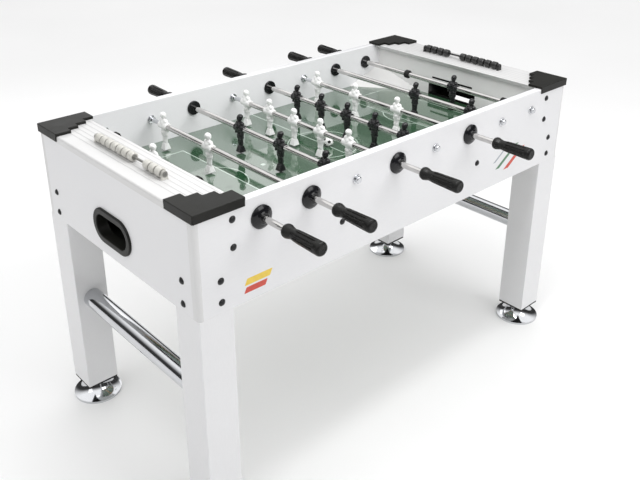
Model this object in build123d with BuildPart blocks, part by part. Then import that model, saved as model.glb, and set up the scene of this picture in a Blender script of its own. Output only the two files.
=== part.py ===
from build123d import *

import os

# Foosball table. The frame's origin is on the floor under the middle of the cabinet:
# X runs along the length, Y across the table from the front wall to the rear wall, Z up.
# All sizes are in millimetres.

# Cabinet
cabinet_length = 1410.0
cabinet_width = 730.0
cabinet_bottom = 618.0
cabinet_top = 876.0
wall = 22.0
rail_thickness = 18.0
corner_trim_width = 12.0
corner_round = 10.0
edge_round = 3.0

# Playing field
rod_pitch = 150.0
rod_height = 820.0
playfield_top = 742.0
playfield_thickness = 12.0
goal_wall_face = 599.0
goal_wall_thickness = 18.0
goal_width = 200.0
goal_height = 48.0
goal_slot_length = 172.0
goal_slot_height = 6.0
goal_slot_z = 805.0
ball_radius = 17.0
ball_y = -22.0

# Ball return in each end
cup_centre_z = 701.0
cup_length = 180.0
cup_height = 96.0
cup_rim = 17.0
cup_flange = 6.0
return_box_width = 224.0
return_box_skin = 3.0

# Legs and feet
leg_size = 95.0
leg_bottom = 59.0
gasket_thickness = 6.0
tenon_top = 727.0
foot_radius = 71.0
foot_height = 52.5
foot_neck_radius = 24.0
foot_skin = 4.0
stem_radius = 6.0
stem_length = 40.0
cross_tube_radius = 28.0
cross_tube_skin = 2.0
cross_tube_z = 360.0

# Rods
tube_radius = 8.0
tube_bore = 6.5
inner_rod_radius = 6.45
running_gap = 0.06
bearing_hole = 15.0
bushing_hole = 10.0
inner_limit = 332.0
full_push_gap = 45.0
inner_rod_engagement = 100.0
front_handle_gap = 85.0
rear_handle_gap = 104.0
handle_length = 118.0
handle_socket = 104.0
stop_from_man = 200.0
stop_half_width = 8.0
stop_radius = 14.0

# Men
man_half_width = 20.0
men_on_rod = [1, 2, 3, 5, 5, 3, 2, 1]
handle_side = ["front", "front", "rear", "front", "rear", "front", "rear", "rear"]
man_spacing = {1: 0.0, 2: 222.0, 3: 180.0, 5: 114.0}

# Score counters
bead_pitch = 26.0
bead_radius = 12.0
bead_count = 10
score_rod_radius = 3.0
score_rod_half = 153.0
score_rod_x = 640.0

# Fasteners
bolt_head_radius = 9.0
bolt_head_height = 5.0
bolt_radius = 3.0
bolt_clearance = 0.2
bolt_length = 42.0
goal_wall_bolt_z = [840.0, 771.0]
leg_bolt_x = 642.0
leg_bolt_z = [700.0, 645.0]
end_bolt_y = 305.0
end_bolt_z = [700.0, 640.0]
support_x = 271.0
support_width = 40.0
support_height = 30.0

half_length = cabinet_length / 2
half_width = cabinet_width / 2
inner_half_length = half_length - wall
inner_half_width = half_width - wall
rail_bottom = cabinet_top - rail_thickness
playfield_bottom = playfield_top - playfield_thickness
goal_wall_back = goal_wall_face + goal_wall_thickness
goal_wall_bolt_x = goal_wall_face + 5.0
support_bolt_z = playfield_bottom - support_height / 2 + 3.0
rod_x = [(index - 3.5) * rod_pitch for index in range(8)]

os.makedirs("parts", exist_ok=True)


def save(shape, label):
    """Labels a finished piece and writes its file."""
    shape.label = label
    export_step(shape, f"parts/{label}.step")


def group(shapes, label):
    """Writes several separate solids of one kind as one node."""
    solids = [solid for shape in shapes for solid in shape.solids()]
    save(Compound(solids), label)


def both_ends(part):
    """A piece made at the right end, and its twin at the left end."""
    return [part, part.rotate(Axis.Z, 180)]


def four_corners(part):
    """A piece made at the front right corner, and its twins at the other three."""
    rear = part.mirror(Plane.XZ)
    return [part, rear, part.mirror(Plane.YZ), rear.mirror(Plane.YZ)]


def travel(count):
    """How far the men of a rod can move to either side of the middle."""
    if count == 1:
        return inner_limit - stop_from_man - stop_half_width - 0.5
    return inner_limit - man_spacing[count] * (count - 1) / 2 - man_half_width - 0.5


def tail(count):
    """Length of the outer tube from the middle of its men to its open end."""
    if count == 1:
        return stop_from_man + stop_half_width
    return man_spacing[count] * (count - 1) / 2 + man_half_width


def outward(side):
    """+1 towards the rear, -1 towards the front."""
    return 1 if side == "rear" else -1


def rest_shift(index):
    """Where the middle of a rod's men stands at rest, towards its handle."""
    gap = rear_handle_gap if handle_side[index] == "rear" else front_handle_gap
    return gap - full_push_gap - travel(men_on_rod[index])


def along_rod(index, distance):
    """A place on a rod's axis, its local Z pointing towards the handle's side."""
    out = outward(handle_side[index])
    return Location((rod_x[index], out * distance, rod_height), (-90 * out, 0, 0))


# Side panels, with a hole for each rod


def side_panel(side):
    out = outward(side)
    outer = Plane.XZ.offset(-out * half_width)
    with BuildPart() as panel:
        with BuildSketch(outer):
            with Locations((0, (cabinet_bottom + cabinet_top) / 2)):
                Rectangle(cabinet_length - 2 * corner_trim_width, cabinet_top - cabinet_bottom)
            for index in range(8):
                own_handle = handle_side[index] == side
                with Locations((rod_x[index], rod_height)):
                    Circle(bearing_hole if own_handle else bushing_hole, mode=Mode.SUBTRACT)
            with Locations(*side_bolts()):
                Circle(bolt_radius + bolt_clearance, mode=Mode.SUBTRACT)
        extrude(amount=out * wall)
        long_edges = panel.edges().filter_by(Axis.X).group_by(Axis.Z)[-1]
        fillet(long_edges, edge_round)
    return panel


def side_bolts():
    """Where the bolts cross a side panel, as X and Z."""
    places = []
    for sign in (-1, 1):
        places += [(sign * goal_wall_bolt_x, z) for z in goal_wall_bolt_z]
        places += [(sign * leg_bolt_x, z) for z in leg_bolt_z]
        places.append((sign * support_x, support_bolt_z))
    return places


def end_bolts():
    """Where the bolts cross an end panel, as Y and Z."""
    return [(sign * end_bolt_y, z) for sign in (-1, 1) for z in end_bolt_z]


front_side_panel = side_panel("front")
save(front_side_panel.part, "front_side_panel")
rear_side_panel = side_panel("rear")
save(rear_side_panel.part, "rear_side_panel")

# End panels, each with an oval opening for the ball return

cup_hole_length = cup_length - 20.0
cup_hole_height = cup_height - 20.0
cup_mouth_length = cup_length - 2 * cup_rim
cup_mouth_height = cup_height - 2 * cup_rim

with BuildPart() as end_panel:
    with BuildSketch(Plane.YZ.offset(inner_half_length)):
        with Locations((0, (cabinet_bottom + rail_bottom) / 2)):
            Rectangle(2 * inner_half_width, rail_bottom - cabinet_bottom)
        with Locations((0, cup_centre_z)):
            SlotOverall(cup_hole_length + 0.4, cup_hole_height + 0.4, mode=Mode.SUBTRACT)
        with Locations(*end_bolts()):
            Circle(bolt_radius + bolt_clearance, mode=Mode.SUBTRACT)
    extrude(amount=wall)
group(both_ends(end_panel.part), "end_panels")

# Rounded strips that close the cabinet's upright corners

with BuildPart() as corner_trim:
    with BuildSketch(Plane.XY.offset(cabinet_bottom)):
        with Locations((half_length - corner_trim_width / 2, -half_width + wall / 2)):
            Rectangle(corner_trim_width, wall)
    extrude(amount=cabinet_top - cabinet_bottom)
    outer_edge = corner_trim.edges().filter_by(Axis.Z).sort_by(Axis.X)[-2:].sort_by(Axis.Y)[0]
    fillet(outer_edge, corner_round)
group(four_corners(corner_trim.part), "corner_trims")

# Flat rails over the two ends. Their nose reaches over the goal wall and is cut back
# underneath, so that the goalkeepers' feet swing past it

rail_nose_top = 576.0
rail_nose_bottom = 590.0

with BuildPart() as end_rail:
    with BuildSketch(Plane.XZ.offset(-inner_half_width)):
        with BuildLine():
            Polyline(
                (half_length, rail_bottom),
                (half_length, cabinet_top),
                (rail_nose_top, cabinet_top),
                (rail_nose_bottom, rail_bottom),
                close=True,
            )
        make_face()
    extrude(amount=2 * inner_half_width)
    top_edges = end_rail.faces().sort_by(Axis.Z)[-1].edges().filter_by(Axis.Y)
    fillet(top_edges.sort_by(Axis.X)[-1], edge_round * 2)
    fillet(end_rail.faces().sort_by(Axis.Z)[-1].edges().filter_by(Axis.Y).sort_by(Axis.X)[0], edge_round / 2)
group(both_ends(end_rail.part), "end_rails")

# Corner caps: a plate whose inner edge steps down in four treads, and a skirt outside

cap_skin = 3.0
cap_plate = 8.0
cap_skirt_drop = 14.0
cap_treads = [42.0, 73.0, 105.0, 137.0]
cap_reaches = [108.0, 87.0, 68.0, 47.0]
cap_corner = (half_length + cap_skin, -half_width - cap_skin)


def cap_outline():
    """Plan of one cap as points, from the outer corner along the side and back."""
    x0, y0 = cap_corner
    points = [(x0, y0), (half_length - cap_treads[-1], y0)]
    for tread, reach in zip(reversed(cap_treads), reversed(cap_reaches)):
        points.append((half_length - tread, -half_width + reach))
        inner = cap_treads.index(tread)
        before = cap_treads[inner - 1] if inner else -cap_skin
        points.append((half_length - before, -half_width + reach))
    return points


with BuildPart() as corner_cap:
    with BuildSketch(Plane.XY.offset(cabinet_top)):
        with BuildLine():
            Polyline(*cap_outline(), close=True)
        make_face()
    extrude(amount=cap_plate)
    upright = corner_cap.edges().filter_by(Axis.Z)
    fillet(upright, 2.0)
    with BuildSketch(Plane.XY.offset(cabinet_top - cap_skirt_drop)):
        with Locations((half_length - cap_treads[-1] / 2 + cap_skin / 2, cap_corner[1] + cap_skin / 2)):
            Rectangle(cap_treads[-1] + cap_skin - 4.0, cap_skin)
        with Locations((cap_corner[0] - cap_skin / 2, -half_width + cap_reaches[0] / 2 - cap_skin / 2)):
            Rectangle(cap_skin, cap_reaches[0] + cap_skin - 4.0)
    extrude(amount=cap_skirt_drop)
    fillet(corner_cap.faces().sort_by(Axis.Z)[-1].edges(), 1.5)
group(four_corners(corner_cap.part), "corner_caps")

# Inner end walls with the goal mouth and a shadow slot above it

with BuildPart() as goal_wall:
    goal_wall_bottom = 690.0
    with BuildSketch(Plane.YZ.offset(goal_wall_face)):
        with Locations((0, (goal_wall_bottom + rail_bottom) / 2)):
            Rectangle(2 * inner_half_width, rail_bottom - goal_wall_bottom)
        with Locations((0, playfield_top + goal_height / 2)):
            RectangleRounded(goal_width, goal_height, 5.0, mode=Mode.SUBTRACT)
        with Locations((0, goal_slot_z)):
            SlotOverall(goal_slot_length, goal_slot_height, mode=Mode.SUBTRACT)
    extrude(amount=goal_wall_thickness)
    bolt_reach = bolt_length - wall
    for sign in (-1, 1):
        for z in goal_wall_bolt_z:
            with BuildSketch(Plane.XZ.offset(sign * inner_half_width)):
                with Locations((goal_wall_bolt_x, z)):
                    Circle(bolt_radius + bolt_clearance)
            extrude(amount=-sign * (bolt_reach + 1.0), mode=Mode.SUBTRACT)

# Sloping boards in the corners of the field, which turn the ball back into play

ramp_along_side = 150.0
ramp_along_goal = 200.0
ramp_height = 54.0
ramp_lip = 1.0
ramp_corner = (goal_wall_face, -inner_half_width)
ramp_slope = Vector(
    (ramp_height - ramp_lip) / -ramp_along_side, (ramp_height - ramp_lip) / ramp_along_goal, 1.0
)

with BuildPart() as corner_ramp:
    with BuildSketch(Plane.XY.offset(playfield_top)):
        with BuildLine():
            Polyline(
                ramp_corner,
                (ramp_corner[0] - ramp_along_side, ramp_corner[1]),
                (ramp_corner[0], ramp_corner[1] + ramp_along_goal),
                close=True,
            )
        make_face()
    extrude(amount=ramp_height)
    ramp_plane = Plane(
        origin=(ramp_corner[0], ramp_corner[1], playfield_top + ramp_height), z_dir=ramp_slope
    )
    split(bisect_by=ramp_plane, keep=Keep.BOTTOM)
group(both_ends(goal_wall.part) + four_corners(corner_ramp.part), "goal_walls")

# Ball return: a box behind the goal and an oval bezel in the end panel

return_box_low = cup_centre_z - cup_mouth_height / 2 - 12.0
return_box_high = goal_slot_z + 8.0
return_box_middle = (goal_wall_back + inner_half_length) / 2
return_box_depth = inner_half_length - goal_wall_back
return_box_z = (return_box_low + return_box_high) / 2

with BuildPart() as return_box:
    with Locations((return_box_middle, 0, return_box_z)):
        Box(return_box_depth, return_box_width, return_box_high - return_box_low)
        Box(
            return_box_depth - 2 * return_box_skin,
            return_box_width - 2 * return_box_skin,
            return_box_high - return_box_low - 2 * return_box_skin,
            mode=Mode.SUBTRACT,
        )
    with BuildSketch(Plane.YZ.offset(goal_wall_back)):
        with Locations((0, playfield_top + goal_height / 2)):
            RectangleRounded(goal_width, goal_height, 5.0)
    extrude(amount=return_box_skin, mode=Mode.SUBTRACT)
    with BuildSketch(Plane.YZ.offset(inner_half_length)):
        with Locations((0, cup_centre_z)):
            SlotOverall(cup_mouth_length, cup_mouth_height)
    extrude(amount=-return_box_skin, mode=Mode.SUBTRACT)

with BuildPart() as cup_bezel:
    with BuildSketch(Plane.YZ.offset(inner_half_length)):
        with Locations((0, cup_centre_z)):
            SlotOverall(cup_hole_length, cup_hole_height)
    extrude(amount=wall)
    with BuildSketch(Plane.YZ.offset(half_length)):
        with Locations((0, cup_centre_z)):
            SlotOverall(cup_length, cup_height)
    extrude(amount=cup_flange)
    fillet(cup_bezel.faces().sort_by(Axis.X)[-1].edges(), 3.0)
    with BuildSketch(Plane.YZ.offset(inner_half_length)):
        with Locations((0, cup_centre_z)):
            SlotOverall(cup_mouth_length, cup_mouth_height)
    extrude(amount=wall + cup_flange, mode=Mode.SUBTRACT)
    fillet(cup_bezel.faces().sort_by(Axis.X)[-1].inner_wires()[0].edges(), 2.0)
group(both_ends(return_box.part) + both_ends(cup_bezel.part), "ball_returns")

# Playing surface, and the cross bars and battens that carry it

with BuildPart() as playfield:
    with Locations((0, 0, (playfield_top + playfield_bottom) / 2)):
        Box(2 * goal_wall_face, 2 * inner_half_width, playfield_thickness)
save(playfield.part, "playfield")

batten_width = 18.0
batten_height = 20.0
batten_half_length = 560.0

with BuildPart() as cross_bar:
    with Locations((support_x, 0, playfield_bottom - support_height / 2)):
        Box(support_width, 2 * inner_half_width, support_height)
    for sign in (-1, 1):
        with BuildSketch(Plane.XZ.offset(sign * inner_half_width)):
            with Locations((support_x, support_bolt_z)):
                Circle(bolt_radius + bolt_clearance)
        extrude(amount=-sign * (bolt_reach + 1.0), mode=Mode.SUBTRACT)

batten_gap = support_x - support_width / 2


def batten(start, end):
    """A short strip under one edge of the playing surface, screwed to the front panel."""
    with BuildPart() as strip:
        middle_y = -inner_half_width + batten_width / 2
        with Locations(((start + end) / 2, middle_y, playfield_bottom - batten_height / 2)):
            Box(end - start, batten_width, batten_height)
    return strip.part


front_battens = [
    batten(-batten_gap + 1.0, batten_gap - 1.0),
    batten(support_x + support_width / 2 + 1.0, batten_half_length),
    batten(-batten_half_length, -support_x - support_width / 2 - 1.0),
]
rear_battens = [strip.mirror(Plane.XZ) for strip in front_battens]
group(both_ends(cross_bar.part) + front_battens + rear_battens, "playfield_supports")

# Legs: a square post below the cabinet, and a tenon inside its corner

tenon_inner_x = goal_wall_back + 1.0
tenon_inner_y = half_width - leg_size

with BuildPart() as leg:
    with Locations((half_length - leg_size / 2, -half_width + leg_size / 2, (leg_bottom + cabinet_bottom) / 2)):
        Box(leg_size, leg_size, cabinet_bottom - leg_bottom)
    fillet(leg.edges().filter_by(Axis.Z), 2.5)
    with BuildSketch(Plane.XY.offset(cabinet_bottom)):
        with Locations(((tenon_inner_x + inner_half_length) / 2, -(tenon_inner_y + inner_half_width) / 2)):
            Rectangle(inner_half_length - tenon_inner_x, inner_half_width - tenon_inner_y)
    extrude(amount=tenon_top - cabinet_bottom)
    with BuildSketch(Plane.XZ.offset(inner_half_width)):
        with Locations(*[(leg_bolt_x, z) for z in leg_bolt_z]):
            Circle(bolt_radius + bolt_clearance)
    extrude(amount=-(bolt_reach + 1.0), mode=Mode.SUBTRACT)
    with BuildSketch(Plane.YZ.offset(inner_half_length)):
        with Locations(*[(-end_bolt_y, z) for z in end_bolt_z]):
            Circle(bolt_radius + bolt_clearance)
    extrude(amount=-(bolt_reach + 1.0), mode=Mode.SUBTRACT)
    with BuildSketch(Plane.XY.offset(leg_bottom)):
        with Locations((half_length - leg_size / 2, -half_width + leg_size / 2)):
            Circle(stem_radius + running_gap)
    extrude(amount=stem_length, mode=Mode.SUBTRACT)
group(four_corners(leg.part), "legs")

# Rubber plate under each leg

with BuildPart() as gasket:
    with BuildSketch(Plane.XY.offset(leg_bottom - gasket_thickness)):
        with Locations((half_length - leg_size / 2, -half_width + leg_size / 2)):
            RectangleRounded(leg_size - 1.0, leg_size - 1.0, 4.0)
            Circle(stem_radius + running_gap, mode=Mode.SUBTRACT)
    extrude(amount=gasket_thickness)
group(four_corners(gasket.part), "leg_gaskets")

# Bell-shaped levelling foot with its threaded stem

with BuildPart() as foot:
    with BuildSketch(Plane.XZ):
        with BuildLine():
            rim_height = 7.0
            outer_rim = Line((foot_radius - foot_skin, 0), (foot_radius, 0))
            rim_side = Line(outer_rim @ 1, (foot_radius, rim_height))
            flare_top = (foot_neck_radius + 8.0, foot_height - 12.0)
            bell = Spline(rim_side @ 1, flare_top, tangents=((-1.0, 0.25), (-0.35, 1.0)))
            neck = Line(bell @ 1, (foot_neck_radius + 8.0, foot_height))
            shoulder = Line(neck @ 1, (stem_radius, foot_height))
            stem_side = Line(shoulder @ 1, (stem_radius, foot_height + stem_length))
            stem_end = Line(stem_side @ 1, (0, foot_height + stem_length))
            axis_line = Line(stem_end @ 1, (0, foot_height - 16.0))
            inside = Spline(
                axis_line @ 1,
                (foot_neck_radius, foot_height - 20.0),
                outer_rim @ 0,
                tangents=((1.0, 0.0), (1.0, -0.6)),
            )
        make_face()
    revolve(axis=Axis.Z)

corner_names = {
    "front_right": (1, -1),
    "rear_right": (1, 1),
    "front_left": (-1, -1),
    "rear_left": (-1, 1),
}
for corner, (sign_x, sign_y) in corner_names.items():
    centre = (sign_x * (half_length - leg_size / 2), sign_y * (half_width - leg_size / 2), 0)
    save(foot.part.moved(Location(centre)), f"foot_{corner}")

# Round tube between the two legs of each end

with BuildPart() as cross_tube:
    leg_face = half_width - leg_size
    with BuildSketch(Plane.XZ.offset(leg_face)):
        with Locations((half_length - leg_size / 2, cross_tube_z)):
            Circle(cross_tube_radius)
            Circle(cross_tube_radius - cross_tube_skin, mode=Mode.SUBTRACT)
    extrude(amount=-2 * leg_face)
group(both_ends(cross_tube.part), "cross_tubes")

# Rod bearings: a domed outer flange on a sleeve, and a ring nut inside the wall

bearing_radius = 29.0
nut_radius = 22.0
nut_thickness = 6.0
bearing_bore = tube_radius + running_gap

with BuildPart() as bearing:
    with BuildSketch(Plane.XZ):
        with BuildLine():
            foot_line = Line((bearing_bore, -wall), (bearing_hole - 0.05, -wall))
            sleeve = Line(foot_line @ 1, (bearing_hole - 0.05, 0))
            seat = Line(sleeve @ 1, (bearing_radius, 0))
            rim = Line(seat @ 1, (bearing_radius, 4.0))
            dome = RadiusArc(rim @ 1, (bearing_hole + 1.0, 11.0), -26.0)
            boss = Line(dome @ 1, (bearing_hole - 2.0, 13.0))
            lip = Line(boss @ 1, (bearing_bore, 13.0))
            Line(lip @ 1, foot_line @ 0)
        make_face()
    revolve(axis=Axis.Z)

with BuildPart() as ring_nut:
    with BuildSketch(Plane.XY.offset(-wall - nut_thickness)):
        Circle(nut_radius)
        Circle(bearing_bore, mode=Mode.SUBTRACT)
    extrude(amount=nut_thickness)
    fillet(ring_nut.edges().group_by(Axis.Z)[0].sort_by(SortBy.RADIUS)[-1], 2.0)

bearings = []
for index in range(8):
    on_wall = along_rod(index, half_width)
    bearings += [bearing.part.moved(on_wall), ring_nut.part.moved(on_wall)]
group(bearings, "rod_bearings")

# End bushings in the opposite wall, where the thin inner rod turns

bushing_bore = inner_rod_radius + running_gap
bushing_flange = 12.5
bushing_flange_thickness = 3.0
bushing_nut_thickness = 4.0

with BuildPart() as bushing:
    with BuildSketch(Plane.XY.offset(-wall)):
        Circle(bushing_hole - 0.05)
    extrude(amount=wall)
    with BuildSketch(Plane.XY):
        Circle(bushing_flange)
    extrude(amount=bushing_flange_thickness)
    fillet(bushing.faces().sort_by(Axis.Z)[-1].edges(), 1.0)
    with BuildSketch(Plane.XY.offset(-wall - bushing_nut_thickness)):
        RegularPolygon(bushing_flange, 6)
    extrude(amount=bushing_nut_thickness)
    with BuildSketch(Plane.XY.offset(-wall - bushing_nut_thickness)):
        Circle(bushing_bore)
    extrude(amount=wall + bushing_nut_thickness + bushing_flange_thickness, mode=Mode.SUBTRACT)

bushings = []
for index in range(8):
    out = -outward(handle_side[index])
    on_wall = Location((rod_x[index], out * half_width, rod_height), (-90 * out, 0, 0))
    bushings.append(bushing.part.moved(on_wall))
group(bushings, "end_bushings")

# Foosball man: head, shoulders, arms along the trunk, and legs that taper to a foot block

head_radius = 11.0
head_z = 31.0
shoulder_z = 17.0
hip_z = -16.0
foot_top_z = -56.0
sole_z = -72.5
man_bore = tube_radius + 0.02

with BuildPart() as man:
    with BuildSketch(Plane.XY.offset(hip_z)):
        RectangleRounded(19.0, 25.0, 6.0)
    with BuildSketch(Plane.XY.offset(2.0)):
        RectangleRounded(24.0, 27.0, 8.0)
    with BuildSketch(Plane.XY.offset(shoulder_z)):
        RectangleRounded(20.0, 33.0, 8.0)
    loft()
    with BuildSketch(Plane.XY.offset(foot_top_z)):
        RectangleRounded(11.0, 18.0, 3.5)
    with BuildSketch(Plane.XY.offset(-34.0)):
        RectangleRounded(13.0, 21.0, 4.5)
    with BuildSketch(Plane.XY.offset(hip_z + 0.5)):
        RectangleRounded(18.0, 24.0, 5.5)
    loft()
    with BuildSketch(Plane.XY.offset(sole_z)):
        RectangleRounded(22.0, 22.0, 3.0)
    with BuildSketch(Plane.XY.offset(foot_top_z + 1.0)):
        RectangleRounded(13.0, 20.0, 3.0)
    loft()
    with Locations((0, 0, head_z)):
        Sphere(head_radius)
    with Locations((0, 0, shoulder_z + 2.0)):
        Cylinder(6.0, 10.0)
    for sign in (-1, 1):
        with Locations((0, sign * (man_half_width - 5.0), shoulder_z - 4.0)):
            Sphere(5.0)
        with Locations((0, sign * (man_half_width - 4.6), 0.0)):
            Cylinder(4.5, 26.0)
        with Locations((0, sign * (man_half_width - 4.6), -13.0)):
            Sphere(4.5)
    with BuildSketch(Plane.XZ.offset(man_half_width)):
        Circle(man_bore)
    extrude(amount=-2 * man_half_width, mode=Mode.SUBTRACT)

# Handle: a bulb collar, a neck, and a fluted grip that widens towards its flat end

with BuildPart() as handle:
    with BuildSketch(Plane.XZ):
        with BuildLine():
            collar_end = Line((0, 0), (14.0, 0))
            collar_round = ThreePointArc(collar_end @ 1, (16.8, 7.0), (15.0, 15.0))
            throat = Spline(collar_round @ 1, (13.2, 26.0), (14.6, 44.0), (15.6, 78.0), (16.4, 108.0))
            tip_round = RadiusArc(throat @ 1, (10.0, handle_length), -9.0)
            tip = Line(tip_round @ 1, (0, handle_length))
            Line(tip @ 1, (0, 0))
        make_face()
    revolve(axis=Axis.Z)
    flute_radius = 3.0
    with BuildSketch(Plane.XY.offset(30.0)):
        with PolarLocations(17.4, 10):
            Circle(flute_radius)
    extrude(amount=74.0, mode=Mode.SUBTRACT)
    with BuildSketch(Plane.XY):
        Circle(man_bore)
    extrude(amount=handle_socket, mode=Mode.SUBTRACT)

# Rubber stop collar on a goalkeeper's rod

with BuildPart() as stop_collar:
    with BuildSketch(Plane.XY.offset(-stop_half_width)):
        Circle(stop_radius)
        Circle(man_bore, mode=Mode.SUBTRACT)
    extrude(amount=2 * stop_half_width)
    fillet(stop_collar.edges().filter_by(GeomType.CIRCLE).sort_by(SortBy.RADIUS)[-2:], 2.5)


# The eight rods. Each has a thin inner rod that turns in the far wall, and an outer tube
# that slides on it with the men and the handle.


def inner_rod(index):
    """Inner rod with its outer cap and inner collar, along the rod's own axis."""
    count = men_on_rod[index]
    reach = travel(count) - tail(count) + inner_rod_engagement
    collar = inner_half_width - bushing_nut_thickness - 0.4
    cap_start = half_width + bushing_flange_thickness + 0.4
    with BuildPart() as rod:
        with BuildSketch(Plane.XY.offset(-cap_start)):
            Circle(inner_rod_radius)
        extrude(amount=cap_start + reach)
        chamfer(rod.faces().sort_by(Axis.Z)[-1].edges(), 1.5)
        with BuildSketch(Plane.XY.offset(-cap_start - 9.0)):
            Circle(8.5)
        extrude(amount=9.0)
        fillet(rod.faces().sort_by(Axis.Z)[0].edges(), 3.0)
        with BuildSketch(Plane.XY.offset(-collar)):
            Circle(9.5)
        extrude(amount=6.0)
    return rod


def outer_tube(index):
    """Outer tube from its open end to the bottom of the handle's socket."""
    count = men_on_rod[index]
    handle_start = half_width + travel(count) + full_push_gap
    with BuildPart() as tube:
        with BuildSketch(Plane.XY.offset(-tail(count))):
            Circle(tube_radius)
            Circle(tube_bore, mode=Mode.SUBTRACT)
        extrude(amount=tail(count) + handle_start + handle_socket - 1.0)
    return tube


for index in range(8):
    number = index + 1
    count = men_on_rod[index]
    out = outward(handle_side[index])
    shift = rest_shift(index)
    save(inner_rod(index).part.moved(along_rod(index, 0)), f"inner_rod_{number}")
    save(outer_tube(index).part.moved(along_rod(index, shift)), f"rod_tube_{number}")
    handle_start = half_width + travel(count) + full_push_gap
    save(handle.part.moved(along_rod(index, shift + handle_start)), f"handle_{number}")
    men = []
    for man_index in range(count):
        from_middle = (man_index - (count - 1) / 2) * man_spacing[count]
        place = (rod_x[index], out * shift + from_middle, rod_height)
        men.append(man.part.moved(Location(place)))
    group(men, f"men_{number}")
    if count == 1:
        stops = [along_rod(index, shift + sign * stop_from_man) for sign in (-1, 1)]
        group([stop_collar.part.moved(place) for place in stops], f"goalie_stops_{number}")

# Ball

with BuildPart() as ball:
    with Locations((0, ball_y, playfield_top + ball_radius)):
        Sphere(ball_radius)
save(ball.part, "ball")

# Score counters: a rod on two posts over each end rail, and ten beads in two groups

score_rod_z = cabinet_top + bead_radius + 1.5
post_thickness = 8.0
post_width = 16.0

with BuildPart() as score_post:
    post_y = score_rod_half + post_thickness / 2
    with BuildSketch(Plane.XZ.offset(-score_rod_half)):
        with Locations((score_rod_x, (cabinet_top + score_rod_z) / 2)):
            Rectangle(post_width, score_rod_z - cabinet_top)
        with Locations((score_rod_x, score_rod_z)):
            Circle(post_width / 2)
            Circle(score_rod_radius, mode=Mode.SUBTRACT)
    extrude(amount=-post_thickness)

with BuildPart() as score_rod:
    with BuildSketch(Plane.XZ.offset(score_rod_half + post_thickness)):
        with Locations((score_rod_x, score_rod_z)):
            Circle(score_rod_radius)
    extrude(amount=-2 * (score_rod_half + post_thickness))

score_posts = [score_post.part, score_post.part.mirror(Plane.XZ)]
scorer = [score_rod.part] + score_posts
group([piece for shape in scorer for piece in both_ends(shape)], "score_rods")

with BuildPart() as bead:
    bead_half = bead_pitch / 2
    with BuildSketch(Plane.XY):
        with BuildLine():
            side_low = Line((score_rod_radius + 0.3, -bead_half + 0.1), (bead_radius - 3.0, -bead_half + 0.1))
            flank_low = Line(side_low @ 1, (bead_radius, -bead_half + 5.0))
            rim_line = Line(flank_low @ 1, (bead_radius, bead_half - 5.0))
            flank_high = Line(rim_line @ 1, (bead_radius - 3.0, bead_half - 0.1))
            side_high = Line(flank_high @ 1, (score_rod_radius + 0.3, bead_half - 0.1))
            Line(side_high @ 1, side_low @ 0)
        make_face()
    revolve(axis=Axis.Y)


def beads(sign_x, side, count, label):
    """Beads pushed together against the front or the rear post."""
    out = outward(side)
    places = []
    for position in range(count):
        y = out * (score_rod_half - 0.2 - bead_half - position * bead_pitch)
        places.append(Location((sign_x * score_rod_x, y, score_rod_z)))
    group([bead.part.moved(place) for place in places], label)


left_scored = 3
right_scored = 6
beads(-1, "front", left_scored, "left_score_beads_front")
beads(-1, "rear", bead_count - left_scored, "left_score_beads_rear")
beads(1, "front", right_scored, "right_score_beads_front")
beads(1, "rear", bead_count - right_scored, "right_score_beads_rear")

# Domed bolts through the panels

with BuildPart() as bolt:
    dome_radius = (bolt_head_radius**2 + bolt_head_height**2) / (2 * bolt_head_height)
    with BuildSketch(Plane.XZ):
        with BuildLine():
            head_seat = Line((bolt_radius, 0), (bolt_head_radius, 0))
            head_dome = RadiusArc(head_seat @ 1, (0, bolt_head_height), -dome_radius)
            bolt_axis = Line(head_dome @ 1, (0, -bolt_length))
            bolt_end = Line(bolt_axis @ 1, (bolt_radius, -bolt_length))
            Line(bolt_end @ 1, head_seat @ 0)
        make_face()
    revolve(axis=Axis.Z)

bolts = []
for out in (-1, 1):
    for x, z in side_bolts():
        bolts.append(bolt.part.moved(Location((x, out * half_width, z), (-90 * out, 0, 0))))
    for y, z in end_bolts():
        bolts.append(bolt.part.moved(Location((out * half_length, y, z), (0, 90 * out, 0))))
group(bolts, "panel_bolts")
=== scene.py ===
import math

import bmesh
import bpy
import numpy as np
from mathutils import Matrix, Vector


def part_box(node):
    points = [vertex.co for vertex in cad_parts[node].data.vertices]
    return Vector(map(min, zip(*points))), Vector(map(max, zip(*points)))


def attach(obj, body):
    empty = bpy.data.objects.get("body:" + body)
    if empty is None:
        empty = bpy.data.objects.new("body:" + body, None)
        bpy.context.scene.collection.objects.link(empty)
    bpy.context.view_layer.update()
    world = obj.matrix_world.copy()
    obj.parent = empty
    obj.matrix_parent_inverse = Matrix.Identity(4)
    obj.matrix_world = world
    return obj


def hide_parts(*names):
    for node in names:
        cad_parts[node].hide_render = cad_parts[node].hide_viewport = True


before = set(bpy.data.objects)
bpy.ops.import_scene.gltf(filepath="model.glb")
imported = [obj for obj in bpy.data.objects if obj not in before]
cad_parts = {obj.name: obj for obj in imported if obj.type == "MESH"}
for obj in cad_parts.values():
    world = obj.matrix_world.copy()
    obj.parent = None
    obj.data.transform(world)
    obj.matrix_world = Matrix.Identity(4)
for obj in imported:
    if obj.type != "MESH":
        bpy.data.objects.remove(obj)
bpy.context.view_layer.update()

# Foosball table. The frame has its origin on the floor under the middle of the cabinet:
# X runs along the length, Y across from the front wall to the rear wall, Z up. Lengths are
# in metres, and MM turns the small ones given in millimetres into metres.

MM = 0.001

panel_low, panel_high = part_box("front_side_panel")
front_face = panel_low.y
cabinet_half_length = panel_high.x
_, field_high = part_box("playfield")
field_half_length = field_high.x
field_half_width = field_high.y

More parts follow.
